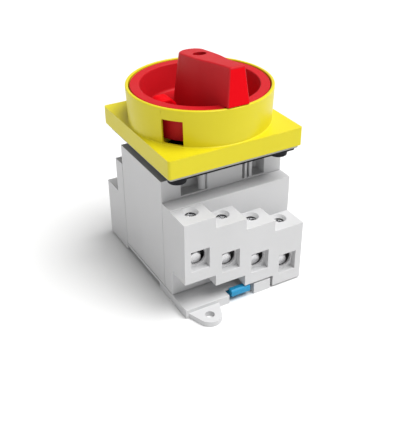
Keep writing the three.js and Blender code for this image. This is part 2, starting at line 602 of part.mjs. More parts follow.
const handle = () => {
  const { rimR, wallR, insideR, floorR, bottom, floor, flange, top, edge, fillet, skin } = BOWL
  const bowl = revolve([
    [0, bottom], [wallR, bottom], [wallR, flange], [rimR, flange], [rimR, top - edge], [rimR - edge, top],
    [insideR + edge, top], [insideR, top - edge], [floorR, floor + fillet], [floorR - fillet, floor],
    [0, floor],
  ])
  // everything of the grip outside the bowl and below the pointer is removed
  const side = GRIP.backR + GRIP_DRAFT
  const overhang = cut(
    box(-side, side, GRIP.tipY - 2 * GRIP_DRAFT, GRIP.waistY, bottom, GRIP_CLEAR),
    post(wallR - skin, wallR - skin, bottom - LAP, GRIP_CLEAR + LAP, 0, 0, 64),
    post(rimR - skin, rimR - skin, flange + skin, GRIP_CLEAR + LAP, 0, 0, 64),
  )
  const { r, low, pilotR, socketTop } = HANDLE_BORE
  const slotHalf = SLIDER.half + GAP
  const slot = box(SLIDER.x0 - GAP, SLIDER.x1 + GAP, -slotHalf, slotHalf, bottom - LAP, floor + LAP)
  return cut(
    join(bowl, cut(grip(), overhang)),
    slot,
    lockWindow(floorR - 2 * fillet, floor + fillet, LOCK_WINDOW.angle - HANDLE_THROW),
    squareBore(SHAFT_BORE, bottom - LAP, socketTop),
    post(pilotR, pilotR, socketTop - LAP, low + LAP, 0, 0, 16),
    post(r, r, low, GRIP.tipTop),
  )
}

const HANDLE_SCREW = { headR: 2.6, head: 2.6, r: 1.5, tip: 78, slot: 0.8, slotDepth: 1 }

const handleScrew = () => {
  const { headR, head, r, tip, slot, slotDepth } = HANDLE_SCREW
  const headTop = HANDLE_BORE.low + head
  return cut(
    join(
      post(headR, headR, HANDLE_BORE.low + GAP, headTop),
      post(r, r, tip, HANDLE_BORE.low + LAP, 0, 0, 16),
    ),
    box(-headR, headR, -slot / 2, slot / 2, headTop - slotDepth, headTop + LAP),
  )
}

// locking slide that stands in the bowl beside the grip; its foot runs in a slot of the bowl floor
const padlockSlide = () => {
  const { x0, x1, half, low, top, chamfer } = SLIDER
  const outline = polygon([
    [x0, low], [x1, low], [x1, top - chamfer], [x1 - chamfer, top], [x0 + chamfer, top], [x0, top - chamfer],
  ])
  return prism(outline, -half, half).rotateX(Math.PI / 2)
}

// ---------- put everything together ----------
add('base', base(), 'housing')
add('din_clip', railClip(), 'blue')
add('housing', housing(), 'housing')
add('front_terminal_shell', terminalShell(), 'housing')
add('rear_terminal_shell', halfTurn(terminalShell()), 'housing')
add('mechanism_cover', mechanismCover(), 'deck')

for (let pole = 0; pole < POLES; pole++) {
  const n = pole + 1
  add(`contact_deck_${n}`, contactDeck(pole), 'deck')
  add(`rotor_${n}`, rotor(pole), 'rotor')
  add(`moving_contact_${n}`, movingContact(pole), 'copper')
  for (const [side, place] of [['front', (g) => g], ['rear', halfTurn]]) {
    add(`fixed_contact_${side}_${n}`, place(fixedContact(pole)), 'copper')
    add(`clamp_cage_${side}_${n}`, place(clampCage(pole)), 'steel')
    add(`terminal_screw_${side}_${n}`, place(terminalScrew(pole)), 'steel')
  }
}

add('shaft', shaft(), 'steel')
add('detent_cam', detentCam(), 'rotor')
add('detent_frame', detentFrame(), 'deck')
add('detent_plunger_right', detentPlunger(), 'steel')
add('detent_plunger_left', halfTurn(detentPlunger()), 'steel')
add('detent_spring_right', detentSpring(), 'steel')
add('detent_spring_left', halfTurn(detentSpring()), 'steel')

add('backing_plate', backingPlate(), 'black')
add('gasket', gasket(), 'gasket')
add('front_plate', frontPlate(), 'yellow')
cornerPoints.forEach((corner, i) => add(`plate_screw_${i + 1}`, plateScrew(corner), 'steel'))

add('handle', handle(), 'red')
add('handle_screw', handleScrew(), 'steel')
add('padlock_slide', padlockSlide(), 'red')

export default isolator
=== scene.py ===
"""Looks of the rotary isolator switch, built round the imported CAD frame.

Pieces are drawn in millimetres in the frame's own axes and turned into metres when they are finished.
"""
import math

import bmesh
import bpy
from mathutils import Matrix, Vector


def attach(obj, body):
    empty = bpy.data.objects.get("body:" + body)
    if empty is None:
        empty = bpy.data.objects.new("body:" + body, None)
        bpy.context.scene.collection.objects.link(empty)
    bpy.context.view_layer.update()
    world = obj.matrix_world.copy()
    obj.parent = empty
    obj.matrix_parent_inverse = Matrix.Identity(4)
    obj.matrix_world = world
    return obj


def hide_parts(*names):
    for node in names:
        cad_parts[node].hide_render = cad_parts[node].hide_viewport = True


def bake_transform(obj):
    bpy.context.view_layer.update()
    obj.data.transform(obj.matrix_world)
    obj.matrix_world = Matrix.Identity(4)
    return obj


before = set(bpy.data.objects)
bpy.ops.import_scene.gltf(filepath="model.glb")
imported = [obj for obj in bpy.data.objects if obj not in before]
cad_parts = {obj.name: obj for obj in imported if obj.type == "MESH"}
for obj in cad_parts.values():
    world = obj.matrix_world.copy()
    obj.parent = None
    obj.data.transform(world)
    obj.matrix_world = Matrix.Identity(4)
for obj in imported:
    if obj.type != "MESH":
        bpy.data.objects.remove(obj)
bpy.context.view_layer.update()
MM = 0.001

# ---------- driving dimensions, millimetres ----------
POLES = 4
POLE_PITCH = 15.2
LEVEL = 5.7
HALF_W = POLES * POLE_PITCH / 2
BLOCK_FRONT = 40.5
SHELF_FRONT = 28.1
CORE_Y = 20.4
GAP = 0.3
BASE_TOP = 4.4
BLOCK_BOTTOM = 17.9
BLOCK_TOP = 48.0
SHELF_TOP = 48.6
FOOT_TOP = 5.7
FOOT_CLEAR = 0.8
TONGUE_X = -8.3
TERMINAL_Y = 32.0
WINDOW_W = 9.0
WINDOW_LOW, WINDOW_HIGH, WINDOW_DEPTH = 23.7, 33.7, 3.0
WIRE_HOLE = {"r": 4.1, "depth": 3.0}
CHAMBER = {"half": 6.2, "low": 19.1, "high": 46.4, "skin": 1.2}
SCREW_HOLE_R = 2.3
FUNNEL = {"r": 3.53, "over": 0.04}
CAGE = {"half": 5.4, "low": 28.4, "high": 41.6, "wall": 1.4, "front": 34.6, "back": 28.2, "hole": 2.3}
JAW = {"r": 3.3, "z": 26.8, "front": 36.0, "edge": 0.9, "root": 0.5}
SCREW = {
    "tip": 33.5, "shoulder": 43.5, "top": 46.0, "r": 2.0, "head": 2.7, "slot": 0.8, "depth": 1.4,
    "chamfer": 0.5, "edge": 0.6, "reach": 0.75,
}
THREAD = {"pitch": 0.8, "start": 0.7, "depth": 0.3, "root": 0.1, "plain": 2.5}
PLATE_HALF = 32.5
PLATE_CORNER = 1.2
PLATE_BOTTOM, PLATE_TOP = 65.8, 74.1
PLATE_POCKET = {"wall": 2.2, "skin": 2.3, "corner": 1.5}
SHAFT_CLEAR_R = 8.0
BOSS = {"offset": 25.2, "r": 3.4, "pilot": 1.6, "low": 66.0, "pilot_top": 71.6}
COLLAR_FOOT, COLLAR_RIM, COLLAR_TOP, COLLAR_WALL = 31.7, 32.4, 90.4, 1.4
COLLAR_ROUND = {"out": 0.5, "in": 0.4, "fillet": 0.45, "flare": 0.5}
SEAM = {"half": 0.12, "depth": 0.5, "below_rim": 1.2}
LOCK_W, LOCK_LOW, LOCK_HIGH, LOCK_ANGLE = 9.4, 74.3, 85.4, -140.0
SHACKLE_SLOT = (21.5, 30.0)
WINDOW_INNER_R = 27.7
BOWL_BOTTOM, BOWL_FLOOR, BOWL_FLANGE, BOWL_TOP = 74.5, 78.1, 87.6, 90.1
BOWL = {"rim": 30.5, "wall": 27.2, "inside": 26.2, "foot": 24.4, "fillet": 1.6, "lip": 0.5}
GRIP = {
    "back_r": 5.9, "back_y": 6.6, "waist": 5.3, "waist_y": -10.0, "tip": 3.7, "tip_y": -30.6, "top": 106.8,
    "rise": 0.132, "draft": 3.0, "edge": 0.9, "clear": 90.8, "corner": 0.7, "half_width": 10.0, "skin": 0.5,
    "reach": 45.0,
}
LAP = 1.0                      # joined shapes and cutting tools run past each other by this much
QUARTER_TURN = 90.0
BORE = {"r": 3.0, "low": 91.5, "pilot": 1.9, "square": 3.3, "socket_top": 87.0}
# heights where the handle's cutting tools begin and end, all of them clear of the shape they cut
TOOL_ENDS = {"grip": 60.0, "ring": (50.0, 100.0), "socket": 70.0, "pilot": (80.0, 100.0), "bore": 120.0}
SPRING = {"r": 1.9, "wire": 0.35, "turns": 4.0, "x0": 15.4, "x1": 26.2, "z": 42.7, "steps": 200, "sides": 12}
SLIDE_SLOT = {"x0": -23.7, "x1": -12.7, "half": 4.1}
SMALL_ROUND, JAW_ROUND, LARGE_ROUND = 48, 72, 256  # sides of a turned shape
SHARP_ANGLE = 32.0             # edges sharper than this are rounded, degrees
FLAT_ANGLE, WELD = 0.3, 1e-3   # triangles this level merge into one face, and points this close into one
POINTER_FACING = -0.9          # a face whose normal has a smaller Y than this faces the pointer's way


def pole_x(pole):
    return (pole + 0.5) * POLE_PITCH - HALF_W


# ---------- mesh helpers ----------
def mesh_object(name, bm):
    mesh = bpy.data.meshes.new(name)
    bmesh.ops.recalc_face_normals(bm, faces=bm.faces)
    bm.to_mesh(mesh)
    bm.free()
    obj = bpy.data.objects.new(name, mesh)
    bpy.context.scene.collection.objects.link(obj)
    return obj


def box(x0, x1, y0, y1, z0, z1):
    """Box between two corners."""
    bm = bmesh.new()
    bmesh.ops.create_cube(bm, size=1.0)
    for v in bm.verts:
        v.co = Vector((
            x0 if v.co.x < 0 else x1,
            y0 if v.co.y < 0 else y1,
            z0 if v.co.z < 0 else z1,
        ))
    return mesh_object("box", bm)


def lathe(profile, sides):
    """Solid of revolution about Z from (radius, height) points; a profile off the axis closes on itself."""
    bm = bmesh.new()
    rings = []
    for r, z in profile:
        if r < 1e-6:
            rings.append([bm.verts.new((0, 0, z))])
            continue
        angles = [2 * math.pi * k / sides for k in range(sides)]
        rings.append([bm.verts.new((r * math.cos(a), r * math.sin(a), z)) for a in angles])
    on_axis = len(rings[0]) == 1
    pairs = list(zip(rings, rings[1:])) + ([] if on_axis else [(rings[-1], rings[0])])
    for low, high in pairs:
        for k in range(sides):
            n = (k + 1) % sides
            loop = [low[k % len(low)], low[n % len(low)], high[n % len(high)], high[k % len(high)]]
            bm.faces.new(list(dict.fromkeys(loop)))
    return mesh_object("lathe", bm)


def post(r0, r1, z0, z1, x=0.0, y=0.0, sides=SMALL_ROUND):
    """Upright cylinder or cone."""
    obj = lathe([(0, z0), (r0, z0), (r1, z1), (0, z1)], sides)
    obj.data.transform(Matrix.Translation((x, y, 0)))
    return obj


def rod_y(r, y0, y1, x, z):
    """Cylinder lying along Y."""
    obj = lathe([(0, y0), (r, y0), (r, y1), (0, y1)], SMALL_ROUND)
    obj.data.transform(Matrix.Translation((x, 0, z)) @ Matrix.Rotation(math.radians(-90), 4, "X"))
    return obj


def prism(outline, z0, z1):
    """Upright prism of an XY outline."""
    bm = bmesh.new()
    low = [bm.verts.new((x, y, z0)) for x, y in outline]
    high = [bm.verts.new((x, y, z1)) for x, y in outline]
    bm.faces.new(low)
    bm.faces.new(high)
    count = len(outline)
    for k in range(count):
        n = (k + 1) % count
        bm.faces.new((low[k], low[n], high[n], high[k]))
    return mesh_object("prism", bm)


def arc(cx, cy, r, start, end, steps):
    """Points along an arc, angles in degrees."""
    angles = [math.radians(start + (end - start) * k / steps) for k in range(steps + 1)]
    return [(cx + r * math.cos(a), cy + r * math.sin(a)) for a in angles]


def rounded_square(half, r, steps=10):
    points = []
    for sx, sy, start in ((1, 1, 0), (-1, 1, 90), (-1, -1, 180), (1, -1, 270)):
        points += arc(sx * (half - r), sy * (half - r), r, start, start + 90, steps)
    return points


def quadratic(start, control, end, steps=14):
    """Points of a quadratic curve, without its start."""
    points = []
    for k in range(1, steps + 1):
        t = k / steps
        points.append(tuple(
            (1 - t) ** 2 * a + 2 * t * (1 - t) * c + t * t * b for a, c, b in zip(start, control, end)
        ))
    return points


def loft(rings, name):
    """Closed solid through rings of equally many points."""
    bm = bmesh.new()
    made = [[bm.verts.new(point) for point in ring] for ring in rings]
    count = len(rings[0])
    for low, high in zip(made, made[1:]):
        for k in range(count):
            n = (k + 1) % count
            bm.faces.new((low[k], low[n], high[n], high[k]))
    bm.faces.new(made[0])
    bm.faces.new(made[-1])
    return mesh_object(name, bm)


def turned(obj, angle=180.0):
    obj.data.transform(Matrix.Rotation(math.radians(angle), 4, "Z"))
    return obj


def boolean(target, operation, tools):
    """Joins or cuts target with each tool, then removes the tools."""
    for tool in tools:
        modifier = target.modifiers.new("boolean", "BOOLEAN")
        modifier.operation = operation
        modifier.solver = "EXACT"
        modifier.object = tool
        bake(target)
        bpy.data.objects.remove(tool)
    return target


def bake(obj):
    """Applies every modifier of an object to its mesh."""
    graph = bpy.context.evaluated_depsgraph_get()
    mesh = bpy.data.meshes.new_from_object(obj.evaluated_get(graph))
    obj.modifiers.clear()
    obj.data = mesh


def cut(target, *tools):
    return boolean(target, "DIFFERENCE", tools)


def join(target, *others):
    return boolean(target, "UNION", others)


def dissolve_flat(mesh):
    """Merges level triangles into whole faces."""
    bm = bmesh.new()
    bm.from_mesh(mesh)
    bmesh.ops.remove_doubles(bm, verts=bm.verts, dist=WELD)
    bmesh.ops.dissolve_limit(bm, angle_limit=math.radians(FLAT_ANGLE), verts=bm.verts, edges=bm.edges)
    bm.to_mesh(mesh)
    bm.free()


def soften(obj, width, segments):
    """Rounds the edges and smooths what is curved; width in millimetres."""
    bevel = obj.modifiers.new("edges", "BEVEL")
    bevel.width = width * MM
    bevel.segments = segments
    bevel.limit_method = "ANGLE"
    bevel.angle_limit = math.radians(SHARP_ANGLE)
    bevel.miter_outer = "MITER_ARC"
    bevel.harden_normals = True
    obj.data.shade_smooth()
    normals = obj.modifiers.new("normals", "WEIGHTED_NORMAL")
    normals.keep_sharp = True
    normals.weight = 80


def piece(name, obj, body, material, node, width, segments=3):
    """Finishes a drawn shape: metres, soft edges, material, body and the CAD node it stands for."""
    dissolve_flat(obj.data)
    obj.data.transform(Matrix.Scale(MM, 4))
    obj.name = name
    obj.data.name = name
    soften(obj, width, segments)
    obj.data.materials.clear()
    obj.data.materials.append(material)
    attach(obj, body)
    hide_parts(node)
    return obj


# ---------- materials ----------
RAMP_LOW, RAMP_HIGH = 0.3, 0.7  # the part of a noise's range that a ramp spreads out


class Graph:
    """Small helper that builds a node material."""

    def __init__(self, name):
        self.material = bpy.data.materials.new(name)
        self.material.use_nodes = True
        self.tree = self.material.node_tree
        self.shader = self.tree.nodes["Principled BSDF"]
        self.coords = self.tree.nodes.new("ShaderNodeTexCoord").outputs["Object"]

    def node(self, kind, values=None, **settings):
        made = self.tree.nodes.new(kind)
        for key, value in settings.items():
            setattr(made, key, value)
        for key, value in (values or {}).items():
            made.inputs[key].default_value = value
        return made

    def link(self, source, target):
        self.tree.links.new(source, target)

    def noise(self, scale, detail=3.0, stretch=None):
        """Noise over the object; scale counts features per metre."""
        made = self.node("ShaderNodeTexNoise", {"Scale": scale, "Detail": detail, "Roughness": 0.55})
        if stretch:
            mapping = self.node("ShaderNodeMapping", {"Scale": stretch})
            self.link(self.coords, mapping.inputs["Vector"])
            self.link(mapping.outputs["Vector"], made.inputs["Vector"])
        else:
            self.link(self.coords, made.inputs["Vector"])
        return made.outputs["Fac"]

    def ramp(self, factor, low, high):
        """Maps the middle of a noise's range onto two values or colours."""
        if isinstance(low, (int, float)):
            values = {"From Min": RAMP_LOW, "From Max": RAMP_HIGH, "To Min": low, "To Max": high}
            made = self.node("ShaderNodeMapRange", values)
            self.link(factor, made.inputs["Value"])
            return made.outputs["Result"]
        made = self.node("ShaderNodeValToRGB")
        made.color_ramp.elements[0].position = RAMP_LOW
        made.color_ramp.elements[1].position = RAMP_HIGH
        made.color_ramp.elements[0].color = (*low, 1)
        made.color_ramp.elements[1].color = (*high, 1)
        self.link(factor, made.inputs["Fac"])
        return made.outputs["Color"]

    def bump(self, height, distance, strength=1.0, normal=None):
        made = self.node("ShaderNodeBump", {"Strength": strength, "Distance": distance})
        self.link(height, made.inputs["Height"])
        if normal:
            self.link(normal, made.inputs["Normal"])
        return made.outputs["Normal"]

    def set(self, **values):
        for key, value in values.items():
            self.shader.inputs[key.replace("_", " ")].default_value = value


def shade(colour, factor):
    return tuple(min(1.0, c * factor) for c in colour)


def moulded_plastic(name, colour, roughness=0.42, grain=2600.0, depth=0.00002, drift=0.03, specular=0.5):
    """Moulded plastic: fine spark-eroded grain, slow drift of tone and gloss as in a thick moulding."""
    g = Graph(name)
    slow = g.noise(26.0, 2.0)
    fine = g.noise(grain, 2.0)
    flow = g.noise(90.0, 4.0, (1.0, 1.0, 0.35))
    mix = g.node("ShaderNodeMix", {"Factor": 0.5}, data_type="FLOAT")
    g.link(slow, mix.inputs[2])
    g.link(flow, mix.inputs[3])
    tone = g.ramp(mix.outputs[0], shade(colour, 1 - drift), shade(colour, 1 + drift))
    g.link(tone, g.shader.inputs["Base Color"])
    g.link(g.ramp(flow, roughness - 0.04, roughness + 0.05), g.shader.inputs["Roughness"])
    coarse = g.bump(flow, 0.00004, 0.25)
    g.link(g.bump(fine, depth, 0.35, coarse), g.shader.inputs["Normal"])
    g.set(Specular_IOR_Level=specular, IOR=1.49)
    return g.material


def foam_rubber(name, colour):
    """Closed-cell foam: pores and a dull, uneven skin."""
    g = Graph(name)
    pores = g.node("ShaderNodeTexVoronoi", {"Scale": 2400.0})
    g.link(g.coords, pores.inputs["Vector"])
    drift = g.noise(300.0, 4.0)
    g.link(g.ramp(drift, shade(colour, 0.85), shade(colour, 1.12)), g.shader.inputs["Base Color"])
    g.link(g.ramp(drift, 0.75, 0.92), g.shader.inputs["Roughness"])
    g.link(g.bump(pores.outputs["Distance"], 0.00012, 0.7), g.shader.inputs["Normal"])
    return g.material


def plated_metal(name, colour, roughness=0.28, brush=(0.06, 1.0, 1.0), haze=0.06):
    """Bright plated metal: rolled streaks and a patchy haze."""
    g = Graph(name)
    streaks = g.noise(5200.0, 4.0, brush)
    haze_map = g.noise(240.0, 5.0)
    g.link(g.ramp(haze_map, shade(colour, 0.9), shade(colour, 1.06)), g.shader.inputs["Base Color"])
    g.link(g.ramp(haze_map, roughness - haze, roughness + haze), g.shader.inputs["Roughness"])
    g.link(g.bump(streaks, 0.00001, 0.4), g.shader.inputs["Normal"])
    g.set(Metallic=1.0)
    return g.material


def floor_paper(name, colour):
    """Seamless paper: barely visible tooth."""
    g = Graph(name)
    tooth = g.noise(900.0, 5.0)
    g.link(g.ramp(tooth, shade(colour, 0.995), shade(colour, 1.0)), g.shader.inputs["Base Color"])
    g.link(g.bump(tooth, 0.00005, 0.1), g.shader.inputs["Normal"])
    g.set(Roughness=0.9, Specular_IOR_Level=0.1)
    return g.material


LIGHT_GREY = (0.555, 0.555, 0.56)
YELLOW = (0.66, 0.57, 0.010)
RED = (0.52, 0.006, 0.012)
HOUSING = moulded_plastic("housing_plastic", LIGHT_GREY, 0.45)
YELLOW_PLASTIC = moulded_plastic("yellow_plastic", YELLOW, 0.38, depth=0.000012, drift=0.02, specular=0.35)
RED_PLASTIC = moulded_plastic("red_plastic", RED, 0.5, depth=0.000012, drift=0.04, specular=0.2)
# a lighter copy of the red, used as a painted highlight on the pointer's end face and the padlock slide for the
# front light falling on them
PAINTED_LIT_RED = (0.70, 0.001, 0.006)
RED_PAINTED_HIGHLIGHT = moulded_plastic("red_painted_highlight", PAINTED_LIT_RED, 0.5, depth=0.000012, drift=0.02, specular=0.05)
BLACK = moulded_plastic("black_plastic", (0.004, 0.004, 0.007), 0.6, drift=0.15, specular=0.2)
GASKET = foam_rubber("gasket_foam", (0.42, 0.42, 0.40))
DECK = moulded_plastic("deck_plastic", (0.045, 0.048, 0.056), 0.55, grain=1800.0, drift=0.12)
ROTOR = moulded_plastic("rotor_plastic", (0.74, 0.69, 0.58), 0.4)
BLUE = moulded_plastic("blue_plastic", (0.010, 0.24, 0.45), 0.35, specular=0.35)
COPPER = plated_metal("contact_copper", (0.83, 0.46, 0.28), 0.3)
STEEL = plated_metal("zinc_steel", (0.72, 0.72, 0.73), 0.26)


# ---------- terminal shells ----------
def staircase():
    """Front view of the stepped blocks, as (x, z) points."""
    half = POLE_PITCH / 2
    top, bottom = [], []
    for pole in range(POLES):
        x, dz = pole_x(pole), -pole * LEVEL
        top += [(x - half, BLOCK_TOP + dz), (x + half, BLOCK_TOP + dz)]
        bottom += [(x - half, BLOCK_BOTTOM + dz), (x + half, BLOCK_BOTTOM + dz)]
    return top + bottom[::-1]


def upright_slab(outline, y0, y1):
    """Prism of an XZ outline between two depths."""
    obj = prism(outline, -y1, -y0)
    obj.data.transform(Matrix.Rotation(math.radians(90), 4, "X"))
    return obj


def terminal_shell():
    over_foot = FOOT_TOP + FOOT_CLEAR
    back = [
        (-HALF_W, BASE_TOP + GAP), (TONGUE_X, BASE_TOP + GAP), (TONGUE_X, over_foot), (POLE_PITCH, over_foot),
        (POLE_PITCH, FOOT_CLEAR), (HALF_W, FOOT_CLEAR), (HALF_W, SHELF_TOP), (-HALF_W, SHELF_TOP),
    ]
    shell = join(
        upright_slab(back, -SHELF_FRONT, -CORE_Y - GAP),
        upright_slab(staircase(), -BLOCK_FRONT, -SHELF_FRONT + LAP),
    )
    tools = []
    for pole in range(POLES):
        x, dz = pole_x(pole), -pole * LEVEL
        window_back, window_z = -BLOCK_FRONT + WINDOW_DEPTH, (WINDOW_LOW + WINDOW_HIGH) / 2 + dz
        side, half = WINDOW_W / 2, CHAMBER["half"]
        floor, roof = CHAMBER["low"] + dz, CHAMBER["high"] + dz
        tools += [
            box(x - side, x + side, -BLOCK_FRONT - LAP, window_back, WINDOW_LOW + dz, WINDOW_HIGH + dz),
            rod_y(WIRE_HOLE["r"], window_back - LAP, window_back + WIRE_HOLE["depth"], x, window_z),
            box(x - half, x + half, window_back + CHAMBER["skin"], -CORE_Y, floor, roof),
            post(SCREW_HOLE_R, SCREW_HOLE_R, roof - LAP, roof + GAP, x, -TERMINAL_Y),
            post(SCREW_HOLE_R, FUNNEL["r"], roof, BLOCK_TOP + FUNNEL["over"] + dz, x, -TERMINAL_Y),
        ]
    return cut(shell, *tools)


def terminal_shells():
    for name, angle in (("front_terminal_shell", 0.0), ("rear_terminal_shell", 180.0)):
        piece(name + "_skin", turned(terminal_shell(), angle), "body", HOUSING, name, 0.45)


# ---------- clamps and screws ----------
def clamp_cage(x, dz):
    """Sliding cage with a round, soft-edged jaw on its front."""
    half, low, high, wall = CAGE["half"], CAGE["low"] + dz, CAGE["high"] + dz, CAGE["wall"]
    front, back, inner = -CAGE["front"], -CAGE["back"], half - wall
    cage = cut(
        box(x - half, x + half, front, back, low, high),
        box(x - inner, x + inner, front - LAP, back + LAP, low + wall, high - wall),
        post(CAGE["hole"], CAGE["hole"], high - 3 * LAP, high + LAP, x, -TERMINAL_Y),
    )
    r, edge, root = JAW["r"], JAW["edge"], -JAW["root"]
    thick = JAW["front"] + front
    face = arc(r - edge, thick - edge, edge, 0, 90, 6)
    jaw = lathe([(0, root), (r, root)] + face + [(0, thick)], JAW_ROUND)
    lay_down = Matrix.Rotation(math.radians(90), 4, "X")
    jaw.data.transform(Matrix.Translation((x, front, JAW["z"] + dz)) @ lay_down)
    return join(cage, jaw)


def cross_slot(x, y, reach, width, low, high):
    half = width / 2
    return [
        box(x - reach, x + reach, y - half, y + half, low, high),
        box(x - half, x + half, y - reach, y + reach, low, high),
    ]


def terminal_screw(x, dz):
    """Pan-headed screw with a turned-down tip, thread grooves and a cross recess."""
    r, head, edge, chamfer = SCREW["r"], SCREW["head"], SCREW["edge"], SCREW["chamfer"]
    tip, shoulder, top = SCREW["tip"], SCREW["shoulder"], SCREW["top"]
    pitch, deep, root = THREAD["pitch"], THREAD["depth"], THREAD["root"]
    profile = [(0, tip), (r - chamfer, tip), (r, tip + chamfer)]
    turns = int((shoulder - tip - THREAD["plain"]) / pitch)
    for k in range(turns):
        z = tip + THREAD["start"] + k * pitch
        profile += [(r, z), (r - deep, z + deep), (r - deep, z + deep + root), (r, z + 2 * deep + root)]
    profile += [(r, shoulder), (head, shoulder)] + arc(head - edge, top - edge, edge, 0, 90, 6) + [(0, top)]
    screw = lathe(profile, SMALL_ROUND)
    screw.data.transform(Matrix.Translation((x, -TERMINAL_Y, dz)))
    reach, low, high = head * SCREW["reach"], top - SCREW["depth"] + dz, top + LAP + dz
    return cut(screw, *cross_slot(x, -TERMINAL_Y, reach, SCREW["slot"], low, high))


def clamps():
    for side, angle in (("front", 0.0), ("rear", 180.0)):
        for pole in range(POLES):
            x, dz, tag = pole_x(pole), -pole * LEVEL, f"{side}_{pole + 1}"
            cage = turned(clamp_cage(x, dz), angle)
            piece(f"cage_{tag}", cage, f"clamp_{tag}", STEEL, f"clamp_cage_{tag}", 0.2)
            screw = turned(terminal_screw(x, dz), angle)
            node = f"terminal_screw_{tag}"
            piece(f"screw_{tag}", screw, f"screw_{tag}", STEEL, node, 0.06, 2)


# ---------- front plate and collar ----------
def ring_window(inside, low, angle):
    """Cutting block for a padlock window, standing across a ring wall."""
    block = box(inside, COLLAR_RIM + 2 * LAP, -LOCK_W / 2, LOCK_W / 2, low, LOCK_HIGH)
    return turned(block, angle)


def collar():
    """Ring with a small fillet at its foot, a slight outward lean and a rounded rim."""
    foot = PLATE_TOP - LAP
    lean = (COLLAR_RIM - COLLAR_FOOT) / (COLLAR_TOP - foot)
    out, inner, bend, flare = (COLLAR_ROUND[key] for key in ("out", "in", "fillet", "flare"))
    steps = [math.radians(10 * k) for k in range(9)]
    fillet = [
        (COLLAR_FOOT + flare - bend * math.sin(a), PLATE_TOP + bend - bend * math.cos(a)) for a in steps
    ]
    rim_out = arc(COLLAR_RIM - out, COLLAR_TOP - out, out, 4, 90, 6)
    rim_in = arc(COLLAR_RIM - COLLAR_WALL + inner, COLLAR_TOP - inner, inner, 90, 180, 6)
    profile = [(COLLAR_FOOT - COLLAR_WALL, foot), (COLLAR_FOOT + flare, foot)] + fillet
    profile.append((COLLAR_FOOT + lean * (LAP + bend), PLATE_TOP + bend))
    return lathe(profile + rim_out + rim_in, LARGE_ROUND)


def plate_bosses():
    bosses = []
    for sx, sy in ((1, 1), (-1, 1), (-1, -1), (1, -1)):
        x, y = sx * BOSS["offset"], sy * BOSS["offset"]
        bosses.append(cut(
            post(BOSS["r"], BOSS["r"], BOSS["low"], PLATE_TOP - LAP, x, y),
            post(BOSS["pilot"], BOSS["pilot"], BOSS["low"] - LAP, BOSS["pilot_top"], x, y),
        ))
    return bosses


def collar_seams():
    """Cutters for the two hairlines that run up from the window's corners."""
    seams = []
    for side in (-1, 1):
        y, half = side * LOCK_W / 2, SEAM["half"]
        low, high = LOCK_HIGH - LAP, COLLAR_TOP - SEAM["below_rim"]
        seam = box(COLLAR_RIM - SEAM["depth"], COLLAR_RIM + LAP, y - half, y + half, low, high)
        seams.append(turned(seam, LOCK_ANGLE))
    return seams


def front_plate():
    wall, skin, corner = (PLATE_POCKET[key] for key in ("wall", "skin", "corner"))
    plate = cut(
        prism(rounded_square(PLATE_HALF, PLATE_CORNER), PLATE_BOTTOM, PLATE_TOP),
        prism(rounded_square(PLATE_HALF - wall, corner), PLATE_BOTTOM - LAP, PLATE_TOP - skin),
    )
    hole = post(SHAFT_CLEAR_R, SHAFT_CLEAR_R, PLATE_BOTTOM, PLATE_TOP + LAP)
    window = ring_window(WINDOW_INNER_R, LOCK_LOW, LOCK_ANGLE)
    shackle = box(*SHACKLE_SLOT, -LOCK_W / 2, LOCK_W / 2, PLATE_BOTTOM, PLATE_TOP + LAP)
    joined = join(plate, collar(), *plate_bosses())
    return cut(joined, hole, window, turned(shackle, LOCK_ANGLE), *collar_seams())


# ---------- handle ----------
def grip_outline(grow):
    """Outline of the grip, from its round back to its square pointer end with eased corners, grown sideways."""
    g = GRIP
    tip, waist, back = g["tip"] + grow, g["waist"] + grow, g["back_r"] + grow
    end, ease = g["tip_y"] - grow, g["corner"]
    right = quadratic((tip, end + ease), (tip, g["waist_y"] * 2), (waist, g["waist_y"]))
    right += quadratic((waist, g["waist_y"]), (back, g["waist_y"] / 2), (back, g["back_y"]))
    corner = arc(tip - ease, end + ease, ease, -90, 0, 5)
    half = corner + right
    back_arc = arc(0, g["back_y"], back, 0, 180, 40)[1:-1]
    return half + back_arc + [(-x, y) for x, y in reversed(half)]


def grip_top(y):
    return GRIP["top"] - GRIP["rise"] * (y - GRIP["tip_y"])


def grip():
    edge = GRIP["edge"]
    rings = [[(x, y, BOWL_FLOOR - LAP) for x, y in grip_outline(GRIP["draft"])]]
    for k in range(7):
        t = math.radians(15 * k)
        outline = grip_outline(-edge * (1 - math.cos(t)))
        rings.append([(x, y, grip_top(y) - edge * (1 - math.sin(t))) for x, y in outline])
    return loft(rings, "grip")


